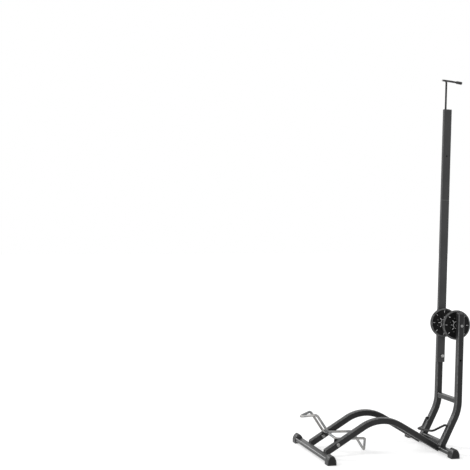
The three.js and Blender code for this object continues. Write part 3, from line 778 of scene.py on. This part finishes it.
def boltMesh(kind, length, thread=None):
    # a threaded shank, a domed head and a hexagon socket
    size = fastener[kind]
    shank, head, height = size["shank"], size["head"], size["height"]
    profile = [(0.01, -length), (shank - 0.8, -length), (shank - 0.1, -length + 0.7)]
    pitch = fastener["threadPitch"] * shank / fastener["bolt"]["shank"]
    turns = int((thread or size["thread"]) / pitch)
    for k in range(turns):
        base = -length + 0.7 + k * pitch
        profile += [(shank - 0.05, base + pitch * 0.3), (shank - 0.5, base + pitch * 0.8)]
    profile += [(shank - 0.02, -length + 1.2 + turns * pitch), (shank, 0), (head - 0.5, 0), (head, 0.35)]
    profile += [(head, height * 0.3)]
    for k in range(1, 7):
        angle = k * math.pi / 15
        across = 0.42 + 0.58 * math.cos(angle * 1.12) ** 0.9
        profile.append((head * across, height * (0.3 + 0.7 * math.sin(angle * 1.25))))
    socket, floor = size["socket"], height - size["socketDepth"]
    flat = socket * 1.35
    rimHeight = profile[-1][1]
    profile = [p for p in profile if p[0] > flat or p[1] < height * 0.3]
    profile.append((flat, max(rimHeight, height - 0.05)))
    first = len(profile)
    profile += [(socket + 0.15, height), (socket, height - 0.3), (socket, floor), (0.01, floor - 0.6)]
    hexes = {first: head, first + 1: head, first + 2: head}
    return latheMesh(profile, fastener["sides"], hexes=hexes)


def nutMesh():
    # a lock nut: hexagon flats below a round collar
    flat, high = fastener["nut"]["acrossFlats"] / 2, nutHeight
    point = flat / math.cos(math.pi / 6)
    profile = [
        (boltBore + 0.4, 0), (flat - 0.3, 0), (flat, -0.6), (flat, -high * 0.62), (flat - 0.1, -high * 0.7),
        (flat - 1.1, -high * 0.74), (flat - 1.2, -high * 0.9), (flat - 1.8, -high), (boltBore + 0.2, -high),
        (boltBore, -high + 0.5), (boltBore, -0.4),
    ]
    hexes = {1: flat + 0.1, 2: point, 3: point, 4: flat + 0.15}
    return latheMesh(profile, fastener["sides"], closed=True, hexes=hexes)


def ringMesh(outer, fromY, toY, edge=0.3):
    profile = [
        (boltBore, fromY + edge), (boltBore + edge, fromY), (outer - edge, fromY), (outer, fromY + edge),
        (outer, toY - edge), (outer - edge, toY), (boltBore + edge, toY), (boltBore, toY - edge),
    ]
    return latheMesh(profile, fastener["sides"], closed=True)


def boltAndNut(place, nutY, spare=0, thread=None):
    # a bolt from the tube's outer face that passes its nut by the spare length
    seat = outerFace + seatGap
    bolt = boltMesh("bolt", seat - nutY + nutHeight + spare, thread)
    return moved(bolt, place @ shift(0, seat, 0)), moved(nutMesh(), place @ shift(0, nutY, 0))


for side, sign in bothSides:
    place = shift(pivotX, 0, pivotZ) @ halfTurn(sign)
    washerY = innerFace - seatGap
    nutY = washerY - washer["thick"] - cradle["lugThickness"] - 2 * seatGap
    bolt, nut = boltAndNut(place, nutY)
    ring = moved(ringMesh(washer["outer"], washerY - washer["thick"], washerY), place)
    for kind, part in (("Bolt", bolt), ("Washer", ring), ("Nut", nut)):
        keepPiece(part, "pivot" + kind + side.title(), "frame", "brightZinc", inRack,
                  (f"pivot_{kind.lower()}_{side}",))

# the lugs keep their CAD shape with a small round on every edge, and two beads join each to its side bar
lugWelds = []
for side, sign in bothSides:
    rounded = paintNode("cradle_lug_" + side, "greyPaint").modifiers.new("roundedEdge", "BEVEL")
    rounded.width = cradle["lugRound"]
    rounded.segments = 3
    rounded.limit_method = "ANGLE"
    bead = cradle["lugBead"]
    z = pivotZ + cradle["sideRise"] - bead["below"]
    for beside in bead["beside"]:
        y = sign * (rodY + beside)
        lugWelds.append(weldBead([(pivotX + along, y, z) for along in bead["run"]], False, y))
keepWelds(lugWelds, "lugWelds", "cradle", "greyPaint")
print("cradle made")

# guide discs

disc = {
    "rim": 60, "hub": 13, "hubHalf": 7, "web": 2.5, "bore": 6.1, "ribs": 8, "ribReach": 25, "ribHalf": 5.5,
    "ribThick": 2.2, "ribTaper": 0.62, "tickInner": 42, "tickHalf": 4.5, "holeCircle": 30, "hole": 2.5,
    "endPlay": 0.5, "sides": 120, "rimHighlight": 0.13, "bush": 6, "spacer": 8, "axleThread": 14, "boltFace": 4.6,
}
postOuter = innerFace - seatGap
postInner = postOuter - stock["post"]["height"]
postY = (postOuter + postInner) / 2
postX = tubeHalf - stock["post"]["width"] / 2
hubOuter = postInner - disc["endPlay"]
discY = hubOuter - disc["hubHalf"]


def ribMesh(inner, outer, half, turn, taper=1):
    # a rounded rib on both faces of the disc, lower at its outer end by that taper
    bm = bmesh.new()
    corners = bmesh.ops.create_cube(bm, size=1)["verts"]
    bmesh.ops.scale(bm, vec=(outer - inner, 2 * half, disc["ribThick"]), verts=corners)
    bmesh.ops.translate(bm, vec=((outer + inner) / 2, 0, 0), verts=corners)
    for vert in bm.verts:
        if vert.co.x > (outer + inner) / 2:
            vert.co.y *= taper
    bmesh.ops.bevel(bm, geom=list(bm.edges), offset=0.55, segments=3, affect="EDGES", profile=0.5)
    return moved(bm, Matrix.Rotation(turn, 4, "Y"))


def discRibHighlight(spot):
    # the tops of the ribs and ticks get a pale painted highlight, and the rim's two shoulders a little
    radius, off = math.hypot(spot.x, spot.z), abs(spot.y)
    if disc["hub"] + 0.6 < radius < disc["ribReach"] + 0.5 and off > 0.5 * disc["ribHalf"]:
        return 1
    if disc["tickInner"] - 0.5 < radius < disc["rim"] - 7.5 and off > disc["tickHalf"] - 0.7:
        return 1
    return disc["rimHighlight"] if radius > disc["rim"] - 6 and off > 4.4 else 0


def discMesh():
    rim, hub, half, web = disc["rim"], disc["hub"], disc["hubHalf"], disc["web"]
    face = [
        (disc["bore"], half - 0.3), (disc["bore"] + 0.4, half), (hub - 1.2, half), (hub - 0.4, half - 0.35),
        (hub, half - 1.1), (hub + 0.3, 4), (hub + 1, 3.1), (hub + 2.2, 2.6), (hub + 4, web), (26, web), (34, web),
        (rim - 10.2, web), (rim - 8.8, 2.7), (rim - 7.9, 3.3), (rim - 7.3, 4.3), (rim - 6.8, 5), (rim - 5.8, 5.4),
        (rim - 4.6, 5.5), (rim - 2.6, 5.5), (rim - 1.5, 5.2), (rim - 0.7, 4.5), (rim - 0.2, 3.4), (rim, 2.2),
    ]
    body = latheMesh(face + [(r, -y) for r, y in face[::-1]], disc["sides"], closed=True)
    step = 2 * math.pi / disc["ribs"]
    ribs, holes = [], []
    for k in range(disc["ribs"]):
        ribs.append(ribMesh(hub - 1.5, disc["ribReach"], disc["ribHalf"], k * step, disc["ribTaper"]))
        ribs.append(ribMesh(disc["tickInner"], rim - 5.8, disc["tickHalf"], k * step))
        turn = Matrix.Rotation((k + 0.5) * step, 4, "Y") @ shift(disc["holeCircle"], 0, 0)
        holes.append(moved(latheMesh([(disc["hole"], -9), (disc["hole"], 9)], 28), turn))
    return body, joined(*ribs), joined(*holes)


def brightCentre(piece, matrix, height, radius, finish):
    # the head's middle, inside that radius about the bolt's axis, gets a finish of its own
    piece.data.materials.append(materials[finish])
    back = matrix.inverted()
    for face in piece.data.polygons:
        spot = back @ face.center
        if math.hypot(spot.x, spot.z - height) < radius:
            face.material_index = 1


for side, sign in bothSides:
    body, ribs, holes = discMesh()
    axle = shift(0, 0, discHeight) @ halfTurn(sign)
    moving = "disc_" + side
    discPlace = inLean @ axle @ shift(0, discY, 0)
    keepPiece(body, "guideDisc" + side.title(), moving, "discPlastic", discPlace, ("guide_disc_" + side,),
              sharpAngle=28, cutters=(("UNION", ribs), ("DIFFERENCE", holes)), markWornAndLitEdges=discRibHighlight)
    bush = moved(ringMesh(disc["bush"], discY - disc["hubHalf"], hubOuter, 0.25), axle)
    keepPiece(bush, "discBush" + side.title(), moving, "steel", inLean, ("disc_bush_" + side,))
    nutY = discY - disc["hubHalf"] - disc["endPlay"]
    bolt, nut = boltAndNut(axle, nutY, 1, disc["axleThread"])
    bolt = keepPiece(bolt, "discBolt" + side.title(), "frame", "blackBar", inLean, ("disc_bolt_" + side,))
    brightCentre(bolt, inLean, discHeight, disc["boltFace"], "steel")
    keepPiece(nut, "discNut" + side.title(), "frame", "steel", inLean, ("disc_nut_" + side,))
spacer = moved(ringMesh(disc["spacer"], postInner, postOuter, 0.4), axle)
keepPiece(spacer, "discSpacerRight", "frame", "steel", inLean, ("disc_spacer_right",))
print("discs made")

# post and hook

post = {
    "top": 1391, "seam": 1014, "foot": 341, "joiner": 120, "spareHeight": 1198, "spareHole": 6.5, "screwHole": 5.3,
    "screwLength": 6.3, "drillReach": 12, "besideHole": 7, "plugFlange": 3, "plugStem": 10, "plugSides": 88,
    "bushDepth": 34,
}
hook = {
    "rod": 8, "stemOffset": 8.2, "stemInside": 70, "rise": 123, "bends": [9, 6, 15, 12],
    "points": [(-18, -3, 0), (-45, -71, -12), (-27, -103, -20), (11, -118, -27)],
    "sleeve": 12, "sleeveLength": 24, "sleeveEnd": 3, "sleeveRound": 3.2,
}
screwHole = post["screwHole"]
lowScrew, highScrew = (post["seam"] + step * post["joiner"] / 3 for step in (-1, 1))
# a hole goes through both walls or only through the outer one
bothWalls, outerWall = post["drillReach"], 0
lengths = (
    ("Lower", post["foot"], post["seam"] - seatGap / 2,
     [(0, discHeight, boltHole, bothWalls), (0, boltHeight, boltHole, bothWalls),
      (postX, lowScrew, screwHole, outerWall)]),
    ("Upper", post["seam"] + seatGap / 2, post["top"],
     [(postX, post["spareHeight"], post["spareHole"], bothWalls), (postX, highScrew, screwHole, outerWall)]),
)
for name, low, high, drills in lengths:
    run = [(Vector((postX, postY, z)), alongZ) for z in (low, high)]
    stops = [z + step for x, z, size, reach in drills for step in (-post["besideHole"], post["besideHole"])]
    run = withStops(run, [(postX, postY, z) for z in stops])
    tools = [drillAt(x, z, postY - reach, postY + post["drillReach"], size) for x, z, size, reach in drills]
    keepPiece(tubeMesh(run, stock["post"], alongX), "post" + name, "frame", "postPaint", inLean,
              ("post_" + name.lower(),), cutters=(("DIFFERENCE", joined(*tools)),),
              holes=[(x, z, size) for x, z, size, reach in drills])
paintNode("post_joiner", "steel")
for name, z in (("Lower", lowScrew), ("Upper", highScrew)):
    place = shift(postX, postOuter + seatGap, z)
    keepPiece(moved(boltMesh("screw", post["screwLength"]), place), "joinerScrew" + name, "frame", "steel", inLean,
              ("joiner_screw_" + name.lower(),))
bolt, nut = boltAndNut(shift(0, 0, boltHeight), postInner - seatGap, 1 + seatGap)
keepPiece(bolt, "postBolt", "frame", "steel", inLean, ("post_bolt",))
keepPiece(nut, "postNut", "frame", "steel", inLean, ("post_nut",))


def plugMesh(section, stem, bore=None):
    # a moulded flange with a rounded rim on a stem inside the tube; bore is its place along X and its radius
    bm = bmesh.new()
    width, height, corner, wall = (section[key] for key in ("width", "height", "corner", "wall"))
    flange = post["plugFlange"]
    centre = (bore[0], 0) if bore else (0, 0)
    angles = [2 * math.pi * (k + 0.5) / post["plugSides"] for k in range(post["plugSides"])]

    def ring(inset, z):
        outline = roundedOutline(width - 2 * inset, height - 2 * inset, max(corner - inset, 0.5))
        return drawRing([capRadius(a, outline, centre) for a in angles], z)

    def boreRing(radius, z):
        return drawRing([radius] * len(angles), z)

    def drawRing(sizes, z):
        return [
            bm.verts.new((centre[0] + size * math.cos(a), size * math.sin(a), z)) for a, size in zip(angles, sizes)
        ]
    inner = wall + seatGap
    rings = [boreRing(bore[1], flange - 0.3), boreRing(bore[1], -stem)] if bore else []
    rings += [ring(inner + 0.6, -stem), ring(inner, -stem + 0.8), ring(inner, -0.01), ring(0.25, 0), ring(0, 0.25)]
    rings += [ring(0, flange - 1.2), ring(0.12, flange - 0.7), ring(0.45, flange - 0.3), ring(1, flange - 0.08)]
    rings += [ring(1.8, flange), boreRing(bore[1] + 0.4, flange) if bore else ring(4.5, flange)]
    skinRings(bm, rings, loop=bool(bore))
    return bm


for side, sign in bothSides:
    plug = plugMesh(stock["square"], uprights["plugStem"])
    plug = moved(plug, shift(0, sign * railY, uprightHeight + seatGap))
    keepPiece(plug, "uprightPlug" + side.title(), "frame", "blackPlastic", inLean, ("upright_plug_" + side,))
plug = moved(plugMesh(stock["post"], post["plugStem"]), Matrix.Rotation(math.pi, 4, "X"))
plug = moved(plug, shift(postX, postY, post["foot"] - seatGap))
keepPiece(plug, "postFootPlug", "frame", "blackPlastic", inLean, ("post_foot_plug",))

hookX = postX - hook["stemOffset"]
bush = plugMesh(stock["post"], post["bushDepth"], (hookX - postX, hook["rod"] / 2 + seatGap))
bush = moved(bush, shift(postX, postY, post["top"] + seatGap))
keepPiece(bush, "hookBush", "frame", "blackPlastic", inLean, ("hook_bush",))

hookTop = post["top"] + hook["rise"]
route = [(hookX, postY, post["top"] - hook["stemInside"]), (hookX, postY, hookTop)]
route += [(hookX + x, postY + y, hookTop + z) for x, y, z in hook["points"]]
stations = bentStations(route, [0, *hook["bends"], 0])
keepPiece(rodMesh(stations, hook["rod"] / 2), "wheelHook", "hook", "blackBar", inLean, ("wheel_hook",),
          markWornAndLitEdges=False)
tipPlace, tipDirection = stations[-1]

# the sleeve has a rim at its mouth and a rounded closed end
inner, outer, long = hook["rod"] / 2 + seatGap, hook["sleeve"] / 2, hook["sleeveLength"]
body, nose, bottom = outer - 0.1, hook["sleeveRound"], long - hook["sleeveEnd"]
profile = [(inner, 0.3), (inner + 0.4, 0), (outer - 0.7, 0), (outer, 0.7), (outer, 1.8), (outer - 0.35, 2.5)]
profile += [(outer - 0.35, 3.5), (body, 4.2), (body, long - nose - 0.2)]
for k in range(1, 7):
    angle = k * math.pi / 12
    profile.append((body - nose + nose * math.cos(angle), long - nose + nose * math.sin(angle)))
profile += [(0.01, long), (0.01, bottom), (inner, bottom)]
sleeve = latheMesh(profile, 36, closed=True)
aim = tipDirection.to_track_quat("Y", "Z").to_matrix().to_4x4()
start = tipPlace + tipDirection * (seatGap - bottom)
keepPiece(moved(sleeve, shift(*start) @ aim), "hookSleeve", "hook", "blackPlastic", inLean,
          ("hook_sleeve",), sharpAngle=40)
print("post and hook made")

# floor, light and camera

studio = {
    "floorReach": 40, "floorLevel": 0.72, "floorGlow": 0.48, "worldLight": 0.55,
    "lamps": (
        ("keyLight", 1.1, (-0.85, -0.25, 0.42), 18), ("backLight", 1.2, (-0.5, 0.75, 0.45), 14),
        ("fillLight", 0.35, (0.25, -0.6, 0.8), 60),
    ),
}


def seenBy(tree, *rays):
    # 1 where one of these kinds of ray arrives, otherwise 0
    path = addNode(tree, "ShaderNodeLightPath")
    level = path.outputs[rays[0]]
    for ray in rays[1:]:
        level = addNode(tree, "ShaderNodeMath", {0: level, 1: path.outputs[ray]}, operation="MAXIMUM").outputs[0]
    return level


def studioFloor():
    bm = bmesh.new()
    bmesh.ops.create_grid(bm, x_segments=8, y_segments=8, size=studio["floorReach"])
    mesh = bpy.data.meshes.new("studioFloor")
    bm.to_mesh(mesh)
    bm.free()
    floor = bpy.data.objects.new("studioFloor", mesh)
    bpy.context.scene.collection.objects.link(floor)
    material = bpy.data.materials.new("studioFloor")
    material.use_nodes = True
    tree = material.node_tree
    tree.nodes.remove(tree.nodes["Principled BSDF"])
    matt = addNode(tree, "ShaderNodeBsdfDiffuse", {"Color": grey(studio["floorLevel"])})
    seen = seenBy(tree, "Is Camera Ray", "Is Glossy Ray")
    glow = addNode(tree, "ShaderNodeMath", {0: seen, 1: studio["floorGlow"]}, operation="MULTIPLY")
    light = addNode(tree, "ShaderNodeEmission", {"Color": grey(1), "Strength": glow.outputs[0]})
    both = addNode(tree, "ShaderNodeAddShader", {0: matt.outputs[0], 1: light.outputs[0]})
    tree.links.new(both.outputs[0], tree.nodes["Material Output"].inputs["Surface"])
    mesh.materials.append(material)


def studioWorld():
    world = bpy.data.worlds.new("studio")
    bpy.context.scene.world = world
    world.use_nodes = True
    tree = world.node_tree
    seen = seenBy(tree, "Is Camera Ray", "Is Glossy Ray", "Is Transmission Ray")
    level = addNode(tree, "ShaderNodeMapRange", {"Value": seen, "To Min": studio["worldLight"], "To Max": 1.0})
    back = tree.nodes["Background"]
    back.inputs["Color"].default_value = grey(1)
    tree.links.new(level.outputs["Result"], back.inputs["Strength"])


studioFloor()
studioWorld()
for name, strength, comesFrom, angle in studio["lamps"]:
    lamp = bpy.data.lights.new(name, "SUN")
    lamp.energy = strength
    lamp.angle = math.radians(angle)
    sun = bpy.data.objects.new(name, lamp)
    bpy.context.scene.collection.objects.link(sun)
    sun.rotation_euler = Vector(comesFrom).to_track_quat("Z", "Y").to_euler()

view = {
    "place": (-1.53276, -3.8378, 0.8681), "turn": -13.423, "focalPixels": 1010.3, "frame": 470, "sensor": 36,
    "reach": 200,
}
lens = bpy.data.cameras.new("photoCamera")
lens.sensor_width = view["sensor"]
lens.lens = view["sensor"] * view["focalPixels"] / view["frame"]
lens.clip_end = view["reach"]
camera = bpy.data.objects.new("photoCamera", lens)
bpy.context.scene.collection.objects.link(camera)
camera.location = view["place"]
camera.rotation_euler = (math.radians(90), 0, math.radians(view["turn"]))
bpy.context.scene.camera = camera
bpy.context.scene.view_settings.view_transform = "Standard"
print("studio ready")
